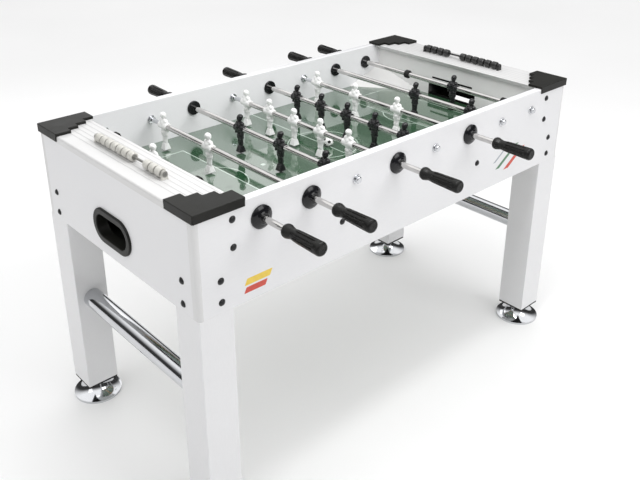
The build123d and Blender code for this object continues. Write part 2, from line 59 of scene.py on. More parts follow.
# The score rods' posts end in half rounds about the rods
post_width = 16.0
rods_low, rods_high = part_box("score_rods")
score_x = rods_high.x - post_width / 2 * MM
score_z = rods_high.z - post_width / 2 * MM

# Rods 1 to 8, from the left end of the table to the right end
men_count = [1, 2, 3, 5, 5, 3, 2, 1]
men_colour = ["white", "white", "black", "white", "black", "white", "black", "black"]
handle_at_rear = [False, False, True, False, True, False, True, True]


# ---------------------------------------------------------------------------------------
# Materials
# ---------------------------------------------------------------------------------------


class Finish:
    """One material under construction, with short calls for the nodes it needs."""

    def __init__(self, name):
        self.material = bpy.data.materials.new(name)
        self.material.use_nodes = True
        self.tree = self.material.node_tree
        self.shader = self.tree.nodes["Principled BSDF"]
        self.place = self.add("ShaderNodeTexCoord").outputs["Object"]

    def add(self, kind, **settings):
        node = self.tree.nodes.new(kind)
        for key, value in settings.items():
            setattr(node, key, value)
        return node

    def put(self, socket, value):
        if isinstance(value, bpy.types.NodeSocket):
            self.tree.links.new(value, socket)
        else:
            socket.default_value = value

    def axes(self):
        """X, Y and Z of the shaded point."""
        split = self.add("ShaderNodeSeparateXYZ")
        self.put(split.inputs[0], self.place)
        return split.outputs[0], split.outputs[1], split.outputs[2]

    def math(self, operation, *values):
        node = self.add("ShaderNodeMath", operation=operation)
        for socket, value in zip(node.inputs, values):
            self.put(socket, value)
        return node.outputs[0]

    def away(self, value, middle):
        """Distance of a value from a middle, to either side."""
        return self.math("ABSOLUTE", self.math("SUBTRACT", value, middle))

    def length(self, first, second):
        """Length of the vector with these two parts."""
        squares = self.math("ADD", self.math("POWER", first, 2.0), self.math("POWER", second, 2.0))
        return self.math("SQRT", squares)

    def highest(self, *values):
        top = values[0]
        for value in values[1:]:
            top = self.math("MAXIMUM", top, value)
        return top

    def noise(self, scale, stretch=(1.0, 1.0, 1.0), detail=3.0):
        mapping = self.add("ShaderNodeMapping")
        self.put(mapping.inputs["Vector"], self.place)
        mapping.inputs["Scale"].default_value = stretch
        node = self.add("ShaderNodeTexNoise")
        self.put(node.inputs["Vector"], mapping.outputs[0])
        node.inputs["Scale"].default_value = scale
        node.inputs["Detail"].default_value = detail
        return node.outputs[0]

    def span(self, value, low, high, out_low=0.0, out_high=1.0):
        node = self.add("ShaderNodeMapRange", clamp=True)
        for socket, number in zip(node.inputs, (value, low, high, out_low, out_high)):
            self.put(socket, number)
        return node.outputs[0]

    def mix(self, factor, first, second):
        node = self.add("ShaderNodeMix", data_type="RGBA")
        self.put(node.inputs[0], factor)
        self.put(node.inputs[6], first if isinstance(first, bpy.types.NodeSocket) else (*first, 1))
        self.put(node.inputs[7], second if isinstance(second, bpy.types.NodeSocket) else (*second, 1))
        return node.outputs[2]

    def edges(self, radius):
        """1 on sharp edges within radius, 0 on flat and gently curved ground."""
        rounded = self.add("ShaderNodeBevel", samples=4)
        rounded.inputs["Radius"].default_value = radius
        plain = self.add("ShaderNodeNewGeometry").outputs["Normal"]
        dot = self.add("ShaderNodeVectorMath", operation="DOT_PRODUCT")
        self.put(dot.inputs[0], rounded.outputs[0])
        self.put(dot.inputs[1], plain)
        return self.span(dot.outputs["Value"], 0.98, 0.80)

    def worn_edges(self, radius):
        """Sharp edges within radius, broken up by scuffs."""
        scuffs = self.span(self.noise(60.0, detail=5.0), 0.42, 0.68)
        return self.math("MULTIPLY", self.edges(radius), scuffs)

    def bump(self, height, distance, rounding=0.0):
        """Bump from a height, over edges that are rounded off by the rounding radius."""
        node = self.add("ShaderNodeBump")
        if rounding:
            rounded = self.add("ShaderNodeBevel", samples=4)
            rounded.inputs["Radius"].default_value = rounding
            self.put(node.inputs["Normal"], rounded.outputs[0])
        self.put(node.inputs["Height"], height)
        node.inputs["Distance"].default_value = distance
        node.inputs["Strength"].default_value = 1.0
        self.put(self.shader.inputs["Normal"], node.outputs[0])

    def paint(self, tone, roughness, **constants):
        """Sets colour and roughness, and the shader inputs named with underscores for spaces."""
        self.put(self.shader.inputs["Base Color"], tone)
        self.put(self.shader.inputs["Roughness"], roughness)
        for name, value in constants.items():
            self.shader.inputs[name.replace("_", " ")].default_value = value


def surface(
    name,
    colour,
    second,
    rough,
    patch=9.0,
    grain=(1.0, 1.0, 1.0),
    grain_scale=900.0,
    depth=0.02,
    wear=None,
    wear_radius=1.2,
    metallic=0.0,
    coat=0.0,
    coat_rough=0.06,
    specular=0.5,
    rounding=0.0,
):
    """A finish with colour patches, fine grain, worn edges, and roughness and bump from its own
    noise. depth is the height of the grain, wear_radius the width of worn edges and rounding the
    radius of softened edges, in mm."""
    finish = Finish(name)
    broad = finish.noise(patch, detail=4.0)
    fine = finish.noise(grain_scale, grain, detail=2.0)
    blend = finish.math("ADD", finish.math("MULTIPLY", broad, 0.6), finish.math("MULTIPLY", fine, 0.4))
    tone = finish.mix(finish.span(blend, 0.32, 0.68), colour, second)
    roughness = finish.span(blend, 0.3, 0.7, *rough)
    if wear:
        worn = finish.worn_edges(wear_radius * MM)
        tone = finish.mix(worn, tone, wear)
        roughness = finish.math("ADD", roughness, finish.math("MULTIPLY", worn, 0.12))
    finish.paint(
        tone,
        roughness,
        Metallic=metallic,
        Specular_IOR_Level=specular,
        Coat_Weight=coat,
        Coat_Roughness=coat_rough,
    )
    finish.bump(fine, depth * MM, rounding=rounding * MM)
    return finish.material


# Marks on the playing field, the same in each half
line_width = 3.5 * MM
centre_circle_radius = 105 * MM
centre_spot_radius = 6 * MM
outer_box_start = 340 * MM
outer_box_half_width = 235 * MM
inner_box_start = 522 * MM
inner_box_half_width = 130 * MM
box_arc_x = 400 * MM
box_arc_radius = 95 * MM
corner_arc_radius = 42 * MM
white_spot_x = 229 * MM
white_spot_radius = 7 * MM
# Dark spots near the men: painted reflections of the men in the glossy field, not print
reflection_spots = ((243 * MM, 80 * MM), (388 * MM, 57 * MM))
reflection_spot_radius = 9 * MM
band_pitch = 136 * MM


def field_print():
    """Printed playing surface under a clear gloss coat: mown bands, lines, arcs and a white spot, with dark
    spots near the men that are painted reflections of the men.
    """
    finish = Finish("field_print")
    x, y, _ = finish.axes()
    far_x = finish.math("ABSOLUTE", x)
    far_y = finish.math("ABSOLUTE", y)

    def on_line(distance):
        return finish.math("LESS_THAN", finish.math("ABSOLUTE", distance), line_width / 2)

    def within(distance):
        return finish.math("LESS_THAN", distance, 0.0)

    def round_distance(centre_x, centre_y, radius):
        across = finish.math("SUBTRACT", far_x, centre_x)
        along = finish.math("SUBTRACT", far_y, centre_y)
        return finish.math("SUBTRACT", finish.length(across, along), radius)

    def box_distance(start_x, half_y):
        """Distance from a box that stands against each goal wall."""
        out_x = finish.math("SUBTRACT", start_x, far_x)
        out_y = finish.math("SUBTRACT", far_y, half_y)
        return finish.math("MAXIMUM", out_x, out_y)

    in_front = finish.math("LESS_THAN", far_x, outer_box_start)
    arc = round_distance(box_arc_x, 0.0, box_arc_radius)
    lines = finish.highest(
        on_line(far_x),
        on_line(round_distance(0.0, 0.0, centre_circle_radius)),
        within(round_distance(0.0, 0.0, centre_spot_radius)),
        on_line(box_distance(outer_box_start, outer_box_half_width)),
        on_line(box_distance(inner_box_start, inner_box_half_width)),
        finish.math("MULTIPLY", on_line(arc), in_front),
        on_line(round_distance(field_half_length, field_half_width, corner_arc_radius)),
        within(round_distance(white_spot_x, 0.0, white_spot_radius)),
    )
    segment = finish.math("MULTIPLY", within(arc), in_front)
    # Painted reflections under the men, darkened like the print
    spots = [within(round_distance(*spot, reflection_spot_radius)) for spot in reflection_spots]
    band = finish.math("SINE", finish.math("MULTIPLY", far_x, 2 * math.pi / band_pitch))
    bands = finish.math("MULTIPLY", finish.span(band, -0.08, 0.08), 0.55)
    dark = finish.highest(segment, *spots, bands)
    blades = finish.span(finish.noise(260.0, (1.0, 0.25, 1.0), detail=6.0), 0.3, 0.7)
    turf = finish.mix(blades, (0.050, 0.108, 0.062), (0.078, 0.142, 0.090))
    deep = finish.mix(blades, (0.014, 0.060, 0.024), (0.024, 0.080, 0.034))
    green = finish.mix(dark, turf, deep)
    faded = finish.span(finish.noise(140.0), 0.3, 0.7)
    ink = finish.mix(faded, (0.40, 0.50, 0.43), (0.50, 0.60, 0.53))
    tone = finish.mix(lines, green, ink)
    dust = finish.span(finish.noise(35.0, detail=6.0), 0.3, 0.75, 0.07, 0.16)
    finish.paint(tone, dust, Coat_Weight=1.0, Coat_Roughness=0.02, Coat_IOR=2.3)
    finish.bump(finish.noise(18.0, detail=1.0), 0.02 * MM)
    return finish.material


# Painted shade inside the goal walls' openings: half width, middle height and half height of each area
goal_mouth_shade = (100.2 * MM, 766.0 * MM, 24.2 * MM)
goal_slot_shade = (86.2 * MM, 805.0 * MM, 3.2 * MM)
along_y = (1.0, 0.12, 1.0)


def goal_wall_board():
    """The white board again, with painted shade: the inside of the goal mouth and of its slot is coloured
    near black.
    """
    finish = Finish("goal_wall_board")
    _, y, z = finish.axes()
    far_y = finish.math("ABSOLUTE", y)

    def inside(half_y, middle_z, half_z):
        across = finish.math("LESS_THAN", far_y, half_y)
        upright = finish.math("LESS_THAN", finish.away(z, middle_z), half_z)
        return finish.math("MULTIPLY", across, upright)

    painted = finish.highest(inside(*goal_mouth_shade), inside(*goal_slot_shade))
    broad = finish.noise(3.0, detail=4.0)
    fine = finish.noise(700.0, along_y, detail=2.0)
    board = finish.mix(finish.span(broad, 0.35, 0.65), (0.72, 0.715, 0.705), (0.76, 0.76, 0.755))
    # Painted shade: near black inside the goal mouth and the slot
    tone = finish.mix(painted, board, (0.006, 0.006, 0.006))
    finish.paint(tone, finish.span(fine, 0.3, 0.7, 0.32, 0.44))
    finish.bump(fine, 0.03 * MM)
    return finish.material


# Distances of the rails' grooves from the ends of the cabinet
groove_lines = [line * MM for line in (26.0, 42.0, 58.0, 73.0, 89.0, 105.0, 118.0)]
groove_flat = 0.5 * MM
groove_shoulder = 1.8 * MM
groove_depth = 0.5 * MM


def grooved_rail():
    """White moulded rail with shallow grooves along it, and painted shade in the grooves."""
    finish = Finish("white_rail")
    x, _, _ = finish.axes()
    from_end = finish.math("SUBTRACT", cabinet_half_length, finish.math("ABSOLUTE", x))
    offs = [finish.away(from_end, line) for line in groove_lines]
    groove = finish.highest(*(finish.span(off, groove_flat, groove_shoulder, 1.0, 0.0) for off in offs))
    broad = finish.noise(4.0, detail=4.0)
    fine = finish.noise(700.0, along_y, detail=2.0)
    tone = finish.mix(finish.span(broad, 0.35, 0.65), (0.62, 0.615, 0.61), (0.66, 0.66, 0.66))
    tone = finish.mix(finish.worn_edges(1.2 * MM), tone, (0.56, 0.53, 0.50))
    # Painted shade: the grooves are darkened towards grey
    tone = finish.mix(finish.math("MULTIPLY", groove, 0.45), tone, (0.34, 0.34, 0.34))
    roughness = finish.span(fine, 0.3, 0.7, 0.28, 0.40)
    finish.paint(tone, roughness, Coat_Weight=0.2, Coat_Roughness=0.15)
    height = finish.math("SUBTRACT", finish.math("MULTIPLY", fine, 0.05), groove)
    finish.bump(height, groove_depth)
    return finish.material


# Distances from the score rod where the painted shade between the beads is full and where it ends
full_shade_radius = 6.0 * MM
no_shade_radius = 9.6 * MM


def counter_plastic(name, colour, second, gap_shade_colour):
    """Counter plastic with painted shade: darker where the beads are thin and meet on their rod, in the
    gaps between them.
    """
    finish = Finish(name)
    x, _, z = finish.axes()
    out = finish.math("SUBTRACT", finish.math("ABSOLUTE", x), score_x)
    up = finish.math("SUBTRACT", z, score_z)
    thin = finish.span(finish.length(out, up), full_shade_radius, no_shade_radius, 1.0, 0.0)
    broad = finish.noise(70.0, detail=4.0)
    fine = finish.noise(1500.0, detail=2.0)
    tone = finish.mix(finish.span(broad, 0.32, 0.68), colour, second)
    # Painted shade in the gaps between the beads, towards the dark gap colour
    tone = finish.mix(finish.math("MULTIPLY", thin, 0.8), tone, gap_shade_colour)
    tone = finish.mix(finish.math("MULTIPLY", finish.edges(0.8 * MM), 0.3), tone, second)
    finish.paint(tone, finish.span(fine, 0.3, 0.7, 0.24, 0.38))
    finish.bump(fine, 0.012 * MM)
    return finish.material


def grey(value):
    return (value, value, value)


# Linear colours, spans of roughness and the rest of what surface() takes
looks = {
    "white_laminate": dict(
        colour=(0.70, 0.70, 0.715), second=(0.74, 0.74, 0.75), rough=(0.30, 0.42), patch=3.0,
        grain=(0.12, 1.0, 1.0), grain_scale=700.0, depth=0.03,
        wear=(0.58, 0.56, 0.52), coat=0.15, coat_rough=0.2,
    ),
    "white_trim": dict(
        colour=grey(0.62), second=grey(0.67), rough=(0.32, 0.45), patch=5.0,
        grain=(1.0, 1.0, 0.1), grain_scale=600.0, depth=0.02, wear=(0.50, 0.48, 0.45),
    ),
    "black_plastic": dict(
        colour=(0.007, 0.007, 0.006), second=(0.013, 0.013, 0.011), rough=(0.34, 0.50), patch=22.0,
        grain_scale=1500.0, depth=0.035, wear=(0.06, 0.06, 0.055), wear_radius=1.6,
        specular=0.22, rounding=2.5,
    ),
    "black_nylon": dict(
        colour=(0.005, 0.005, 0.006), second=(0.010, 0.010, 0.012), rough=(0.09, 0.18), patch=30.0,
        grain_scale=1100.0, depth=0.008, wear=grey(0.05), wear_radius=0.8, specular=0.35,
    ),
    "black_bolt": dict(
        colour=(0.008, 0.008, 0.009), second=(0.016, 0.016, 0.017), rough=(0.28, 0.42), patch=90.0,
        grain_scale=2200.0, depth=0.01, wear=(0.12, 0.11, 0.10), wear_radius=0.5, specular=0.35,
    ),
    "black_rubber": dict(
        colour=grey(0.009), second=(0.017, 0.016, 0.016), rough=(0.55, 0.75), patch=40.0,
        grain_scale=1800.0, depth=0.03, wear=(0.06, 0.055, 0.05), wear_radius=1.0, specular=0.25,
    ),
    "handle_rubber": dict(
        colour=grey(0.007), second=(0.013, 0.013, 0.012), rough=(0.20, 0.34), patch=50.0,
        grain_scale=1700.0, depth=0.025, wear=(0.045, 0.045, 0.042), wear_radius=0.8, specular=0.2,
    ),
    "bright_chrome": dict(
        colour=(0.64, 0.65, 0.67), second=(0.56, 0.57, 0.59), rough=(0.05, 0.13), patch=14.0,
        grain_scale=420.0, depth=0.002, wear=(0.52, 0.50, 0.47), wear_radius=0.6, metallic=1.0,
    ),
    "rod_steel": dict(
        colour=(0.64, 0.63, 0.62), second=(0.54, 0.53, 0.52), rough=(0.03, 0.09), patch=20.0,
        grain=(1.0, 0.05, 1.0), grain_scale=1400.0, depth=0.004,
        wear=(0.42, 0.40, 0.37), wear_radius=0.5, metallic=1.0,
    ),
    "white_leg": dict(
        colour=(0.70, 0.70, 0.71), second=(0.745, 0.745, 0.755), rough=(0.28, 0.40), patch=3.5,
        grain=(1.0, 1.0, 0.12), grain_scale=700.0, depth=0.03,
        wear=(0.55, 0.53, 0.50), coat=0.2, coat_rough=0.15,
    ),
    "raw_board": dict(
        colour=(0.42, 0.29, 0.17), second=(0.52, 0.38, 0.24), rough=(0.65, 0.85), patch=12.0,
        grain=(0.4, 1.0, 1.0), grain_scale=500.0, depth=0.08, wear=(0.30, 0.20, 0.12),
    ),
    "white_men": dict(
        colour=(0.80, 0.80, 0.79), second=grey(0.86), rough=(0.18, 0.30), patch=60.0,
        grain_scale=1300.0, depth=0.012, wear=(0.66, 0.64, 0.60), wear_radius=0.7,
        coat=0.5, coat_rough=0.08,
    ),
    "black_men": dict(
        colour=(0.005, 0.005, 0.006), second=(0.010, 0.010, 0.011), rough=(0.16, 0.28), patch=60.0,
        grain_scale=1300.0, depth=0.012, wear=grey(0.05), wear_radius=0.7,
        coat=0.25, coat_rough=0.08, specular=0.3,
    ),
    "ball_white": dict(
        colour=(0.80, 0.80, 0.78), second=(0.88, 0.88, 0.87), rough=(0.22, 0.38), patch=110.0,
        grain_scale=2400.0, depth=0.02, wear=(0.55, 0.54, 0.50), wear_radius=0.4, coat=0.3,
    ),
    "ball_black": dict(
        colour=grey(0.010), second=grey(0.022), rough=(0.24, 0.40), patch=110.0,
        grain_scale=2400.0, depth=0.02, wear=grey(0.10), wear_radius=0.4, coat=0.3,
    ),
}
sticker_colours = {
    "sticker_yellow": ((0.72, 0.50, 0.05), (0.80, 0.58, 0.09)),
    "sticker_red": ((0.50, 0.05, 0.03), (0.60, 0.08, 0.05)),
    "sticker_green": ((0.06, 0.16, 0.08), (0.10, 0.22, 0.12)),
    "sticker_grey": ((0.30, 0.33, 0.36), (0.40, 0.43, 0.46)),
}

finishes = {name: surface(name, **look) for name, look in looks.items()}
finishes["score_white"] = counter_plastic(
    "score_white", (0.52, 0.51, 0.47), (0.62, 0.61, 0.57), (0.07, 0.07, 0.065)
)
finishes["score_black"] = counter_plastic("score_black", grey(0.012), grey(0.024), grey(0.004))
for name, colours in sticker_colours.items():
    finishes[name] = surface(name, *colours, (0.30, 0.42), patch=80.0, depth=0.006)
finishes["field_print"] = field_print()
finishes["goal_wall_board"] = goal_wall_board()
finishes["white_rail"] = grooved_rail()

carried_finish = {
    "front_side_panel": "white_laminate",
    "rear_side_panel": "white_laminate",
    "end_panels": "white_laminate",
    "goal_walls": "goal_wall_board",
    "corner_trims": "white_trim",
    "end_rails": "white_rail",
    "corner_caps": "black_plastic",
    "ball_returns": "black_plastic",
    "playfield": "field_print",
    "playfield_supports": "raw_board",
    "rod_bearings": "black_nylon",
    "end_bushings": "bright_chrome",
    "legs": "white_leg",
    "leg_gaskets": "black_rubber",
    "cross_tubes": "bright_chrome",
    "panel_bolts": "black_bolt",
    "foot_front_right": "bright_chrome",
    "foot_rear_right": "bright_chrome",
    "foot_front_left": "bright_chrome",
    "foot_rear_left": "bright_chrome",
    "goalie_stops_1": "black_rubber",
    "goalie_stops_8": "black_rubber",
}
for number in range(1, 9):
    carried_finish[f"inner_rod_{number}"] = "bright_chrome"
    carried_finish[f"rod_tube_{number}"] = "rod_steel"

for node, finish_name in carried_finish.items():
    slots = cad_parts[node].data.materials
    slots.clear()
    slots.append(finishes[finish_name])


# ---------------------------------------------------------------------------------------
# Mesh helpers
# ---------------------------------------------------------------------------------------


def add_piece(name, mesh, finish_names, body, replaces=()):
    """Puts a finished mesh in the scene as a piece that rides on a body."""
    piece = bpy.data.objects.new(name, mesh)
    bpy.context.scene.collection.objects.link(piece)
    for finish_name in finish_names:
        mesh.materials.append(finishes[finish_name])
    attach(piece, body)
    if replaces:
        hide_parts(*replaces)
    return piece


def lathe(bm, profile, segments, place, radius_at=None):
    """Revolves a profile of (radius, height) in mm around local Z and closes both ends.
    radius_at(angle, radius, height) may change the radius round the turn."""
    rings = []
    for radius, height in profile:
        ring = []
        for step in range(segments):
            angle = 2 * math.pi * step / segments
            r = radius_at(angle, radius, height) if radius_at else radius
            point = Vector((r * math.cos(angle), r * math.sin(angle), height)) * MM
            ring.append(bm.verts.new(place @ point))
        rings.append(ring)
    for low, high in zip(rings, rings[1:]):
        for step in range(segments):
            after = (step + 1) % segments
            bm.faces.new((low[step], low[after], high[after], high[step]))
    bm.faces.new(reversed(rings[0]))
    bm.faces.new(rings[-1])


def finish_mesh(bm, name, sharp_degrees=40.0):
    """Turns a bmesh into smooth-shaded mesh data with sharp edges kept sharp."""
    bmesh.ops.recalc_face_normals(bm, faces=bm.faces)
    limit = math.radians(sharp_degrees)
    for face in bm.faces:
        face.smooth = True
    for edge in bm.edges:
        if len(edge.link_faces) == 2 and edge.calc_face_angle(0.0) > limit:
            edge.smooth = False
    mesh = bpy.data.meshes.new(name)
    bm.to_mesh(mesh)
    bm.free()
    return mesh


def smooth_profile(points, steps):
    """Points of a smooth curve through the given (radius, height) pairs."""
    out = []
    count = len(points)
    for index in range(count - 1):
        p0 = Vector(points[max(index - 1, 0)])
        p1 = Vector(points[index])
        p2 = Vector(points[index + 1])
        p3 = Vector(points[min(index + 2, count - 1)])
        for step in range(steps):
            t = step / steps
            a = 2 * p1
            b = (p2 - p0) * t
            c = (2 * p0 - 5 * p1 + 4 * p2 - p3) * t * t
            d = (-p0 + 3 * p1 - 3 * p2 + p3) * t**3
            out.append(tuple((a + b + c + d) / 2))
    out.append(tuple(points[-1]))
    return out


# ---------------------------------------------------------------------------------------
# Foosball men: one moulded figure, copied along each rod
# ---------------------------------------------------------------------------------------


def blob(bm, centre, radii, turn=None):
    """Adds an ellipsoid, in mm."""
    place = Matrix.Translation(Vector(centre))
    if turn:
        place = place @ turn
    place = place @ Matrix.Diagonal((*radii, 1.0))
    bmesh.ops.create_icosphere(bm, subdivisions=3, radius=1.0, matrix=place)


def limb(bm, start, end, start_radius, end_radius):
    """Adds a tapered rod with round ends, in mm."""
    start, end = Vector(start), Vector(end)
    axis = end - start
    place = Matrix.Translation((start + end) / 2) @ axis.to_track_quat("Z", "Y").to_matrix().to_4x4()
    bmesh.ops.create_cone(
        bm,
        cap_ends=True,
        segments=24,
        radius1=start_radius,
        radius2=end_radius,
        depth=axis.length,
        matrix=place,
    )
    blob(bm, start, (start_radius,) * 3)
    blob(bm, end, (end_radius,) * 3)


def block(bm, low_z, high_z, low_size, high_size):
    """Adds a square foot block that narrows upwards, in mm."""
    corners = []
    for z, (size_x, size_y) in ((low_z, low_size), (high_z, high_size)):
        for sx, sy in ((-1, -1), (1, -1), (1, 1), (-1, 1)):
            corners.append(bm.verts.new((sx * size_x / 2, sy * size_y / 2, z)))
    bm.faces.new(corners[3::-1])
    bm.faces.new(corners[4:])
    for side in range(4):
        after = (side + 1) % 4
        bm.faces.new((corners[side], corners[after], corners[after + 4], corners[side + 4]))


sleeve_radius = 11.2
sleeve_length = 39.6
skin_voxel = 0.8


def figure_mesh():
    """A plain moulded player in millimetres, with the rod's axis along Y through its origin."""
    bm = bmesh.new()
    # Head, hair and nose
    blob(bm, (0.4, 0, 30.5), (9.0, 8.2, 10.6))
    blob(bm, (-1.6, 0, 34.0), (9.0, 9.0, 7.8))
    blob(bm, (9.0, 0, 29.4), (1.9, 1.5, 2.6))
    for side in (-1, 1):
        # Ear, arm, hand, thigh, shin and calf
        blob(bm, (-0.6, side * 8.4, 29.6), (2.0, 1.4, 3.0))
        limb(bm, (0, side * 12.0, 14.5), (0.8, side * 15.3, 1.0), 4.6, 4.0)
        limb(bm, (0.8, side * 15.3, 1.0), (4.6, side * 13.6, -11.0), 4.0, 3.2)
        blob(bm, (5.4, side * 13.2, -13.2), (3.8, 3.0, 4.2))
        limb(bm, (0.2, side * 5.2, -25.0), (0, side * 4.4, -44.0), 5.8, 4.8)
        limb(bm, (0, side * 4.4, -44.0), (0, side * 4.4, -60.0), 4.8, 3.9)
        blob(bm, (-1.2, side * 4.5, -46.0), (5.2, 4.2, 7.5))
    # Neck, shoulders, trunk, shorts and the web between the legs
    limb(bm, (0, 0, 16.0), (0.2, 0, 25.0), 6.0, 4.6)
    limb(bm, (0, -9.5, 14.5), (0, 9.5, 14.5), 6.6, 6.6)
    blob(bm, (1.0, 0, 6.5), (11.6, 14.0, 13.0))
    blob(bm, (0.4, 0, -8.0), (9.4, 11.8, 12.0))
    blob(bm, (0, 0, -19.5), (9.6, 12.2, 9.0))
    limb(bm, (0.2, -6.0, -27.5), (0.2, 6.0, -27.5), 6.9, 6.9)
    limb(bm, (0, 0, -34.0), (0, 0, -58.0), 4.2, 4.6)
    bmesh.ops.create_cone(
        bm,
        cap_ends=True,
        segments=40,
        radius1=sleeve_radius,
        radius2=sleeve_radius,
        depth=sleeve_length,
        matrix=Matrix.Rotation(math.radians(90), 4, "X"),
    )
    block(bm, -72.5, -54.0, (22.0, 21.6), (12.0, 16.0))
    mesh = bpy.data.meshes.new("figure_rough")
    bm.to_mesh(mesh)
    bm.free()
    rough = bpy.data.objects.new("figure_rough", mesh)
    bpy.context.scene.collection.objects.link(rough)
    remesh = rough.modifiers.new("skin", "REMESH")
    remesh.mode = "VOXEL"
    remesh.voxel_size = skin_voxel
    relax = rough.modifiers.new("relax", "SMOOTH")
    relax.factor = 0.5
    relax.iterations = 3
    thin = rough.modifiers.new("thin", "DECIMATE")
    thin.ratio = 0.28
    graph = bpy.context.evaluated_depsgraph_get()
    done = bpy.data.meshes.new_from_object(rough.evaluated_get(graph))
    bpy.data.objects.remove(rough)
    return done


figure = figure_mesh()
# Height of the head over the rod's axis and half the width of a man, in mm
head_top = 42.0
half_man = 20.0

for index, count in enumerate(men_count):
    node = f"men_{index + 1}"
    low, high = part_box(node)
    axis_z = high.z - head_top * MM
    first_y = low.y + half_man * MM
    spacing = (high.y - low.y - 2 * half_man * MM) / max(count - 1, 1)
    turn = 0.0 if men_colour[index] == "white" else math.pi
    bm = bmesh.new()
    for man in range(count):
        known = set(bm.verts)
        bm.from_mesh(figure)
        fresh = [v for v in bm.verts if v not in known]
        place = Matrix.Translation(((low.x + high.x) / 2, first_y + man * spacing, axis_z))
        place = place @ Matrix.Rotation(turn, 4, "Z") @ Matrix.Scale(MM, 4)
        bmesh.ops.transform(bm, matrix=place, verts=fresh)
    slot = f"{men_colour[index]}_men"
    mesh = finish_mesh(bm, f"players_{index + 1}", sharp_degrees=70.0)
    add_piece(f"players_{index + 1}", mesh, [slot], f"rod_{index + 1}", [node])


# ---------------------------------------------------------------------------------------
# Handles: a bulb collar, a waist and a fluted grip with a dished end
# ---------------------------------------------------------------------------------------

flute_count = 10
flute_depth = 2.1
flute_start = 34.0
flute_end = 104.0
fade_in = 7.0
fade_out = 6.0
steps_per_flute = 12
tube_clearance_radius = 8.05


def fluted(angle, radius, height):
    """Radius of the grip, with grooves that fade out at both ends."""
    opening = min(max((height - flute_start) / fade_in, 0.0), 1.0)
    closing = min(max((flute_end - height) / fade_out, 0.0), 1.0)
    fade = opening * closing
    fade = fade * fade * (3 - 2 * fade)
    groove = max(math.cos(flute_count * angle), 0.0) ** 1.5
    return radius - flute_depth * fade * groove


def handle_profile(length):
    """Half section of a handle: bore edge, bulb, waist, grip and dished end."""
    start = [(tube_clearance_radius, 0.0), (12.5, 0.0), (14.2, 0.4)]
    bulb = [(15.2, 1.2), (16.6, 5.0), (16.8, 9.0), (15.4, 15.0)]
    waist = [(13.5, 22.0), (13.2, 28.0), (14.2, 38.0)]
    grip = [(15.0, 55.0), (15.7, 80.0), (16.5, 104.0), (16.6, 111.0)]
    shoulder = [(15.9, length - 3.4), (14.2, length - 0.8)]
    rim = [(12.4, length), (9.4, length), (8.6, length - 0.9)]
    dish = [(3.2, length - 0.9), (2.4, length - 1.6), (0.4, length - 1.6)]
    return start + smooth_profile(bulb + waist + grip + shoulder, 6) + rim + dish


for index, at_rear in enumerate(handle_at_rear):
    node = f"handle_{index + 1}"
    low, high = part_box(node)
    out = 1 if at_rear else -1
    start_y = low.y if at_rear else high.y
    length = (high.y - low.y) / MM
    place = Matrix.Translation(((low.x + high.x) / 2, start_y, (low.z + high.z) / 2))
    place = place @ Matrix.Rotation(math.radians(-90 * out), 4, "X")
    bm = bmesh.new()
    lathe(bm, handle_profile(length), steps_per_flute * flute_count, place, fluted)
    mesh = finish_mesh(bm, f"grip_{index + 1}")
    add_piece(f"grip_{index + 1}", mesh, ["handle_rubber"], f"rod_{index + 1}", [node])


# ---------------------------------------------------------------------------------------
# Ball: twelve dark and twenty white panels with stitched seams
# ---------------------------------------------------------------------------------------

ball_low, ball_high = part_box("ball")
ball_centre = (ball_low + ball_high) / 2
ball_radius = (ball_high.z - ball_low.z) / 2
# Distances of the pentagons and hexagons of a truncated icosahedron from its middle, for unit edges
dark_panel_distance = 2.32744
white_panel_distance = 2.26728
# Seams between the panels, as parts of the ball's radius
seam_width = 0.028
seam_depth = 0.035


def panel_directions():
    """Middles of the dark panels, then of the white ones, as unit vectors."""
    shape = bmesh.new()
    bmesh.ops.create_icosphere(shape, subdivisions=1, radius=1.0)
    dark = [np.array(v.co.normalized()) for v in shape.verts]
    white = [np.array(f.calc_center_median().normalized()) for f in shape.faces]
    shape.free()
    return np.array(dark), np.array(white)


dark_panels, white_panels = panel_directions()
tilt = Matrix.Rotation(math.radians(24), 4, "X") @ Matrix.Rotation(math.radians(-52), 4, "Z")
bm = bmesh.new()
bmesh.ops.create_icosphere(bm, subdivisions=6, radius=1.0)
for vert in bm.verts:
    direction = np.array(vert.co.normalized())
    dark_reach = dark_panels @ direction / dark_panel_distance
    white_reach = white_panels @ direction / white_panel_distance
    following, best = sorted(np.concatenate((dark_reach, white_reach)))[-2:]
    closeness = max(0.0, 1.0 - (best - following) / seam_width)
    vert.co = Vector(direction) * (1.0 - seam_depth * closeness**2)
for face in bm.faces:
    direction = np.array(face.calc_center_median().normalized())
    dark_reach = (dark_panels @ direction).max() / dark_panel_distance
    white_reach = (white_panels @ direction).max() / white_panel_distance
    face.material_index = 1 if dark_reach > white_reach else 0
ball_place = Matrix.Translation(ball_centre) @ tilt @ Matrix.Scale(ball_radius, 4)
bmesh.ops.transform(bm, matrix=ball_place, verts=bm.verts)
mesh = finish_mesh(bm, "panelled_ball", sharp_degrees=80.0)
add_piece("panelled_ball", mesh, ["ball_white", "ball_black"], "ball", ["ball"])


# ---------------------------------------------------------------------------------------
# Score counters: posts, rod and ridged beads, white at the left end and black at the right
# ---------------------------------------------------------------------------------------

post_thickness = 8.0
score_rod_radius = 3.0
bead_pitch = 26.0
bead_gap = 0.2
bead_margin = 0.15
bead_hole = score_rod_radius + 0.3
post_flare = 2.0
flare_height = 3.0
post_bevel = 0.8
top_steps = 16
rod_segments = 28
bead_segments = 36
turn_to_y = Matrix.Rotation(math.radians(-90), 4, "X")


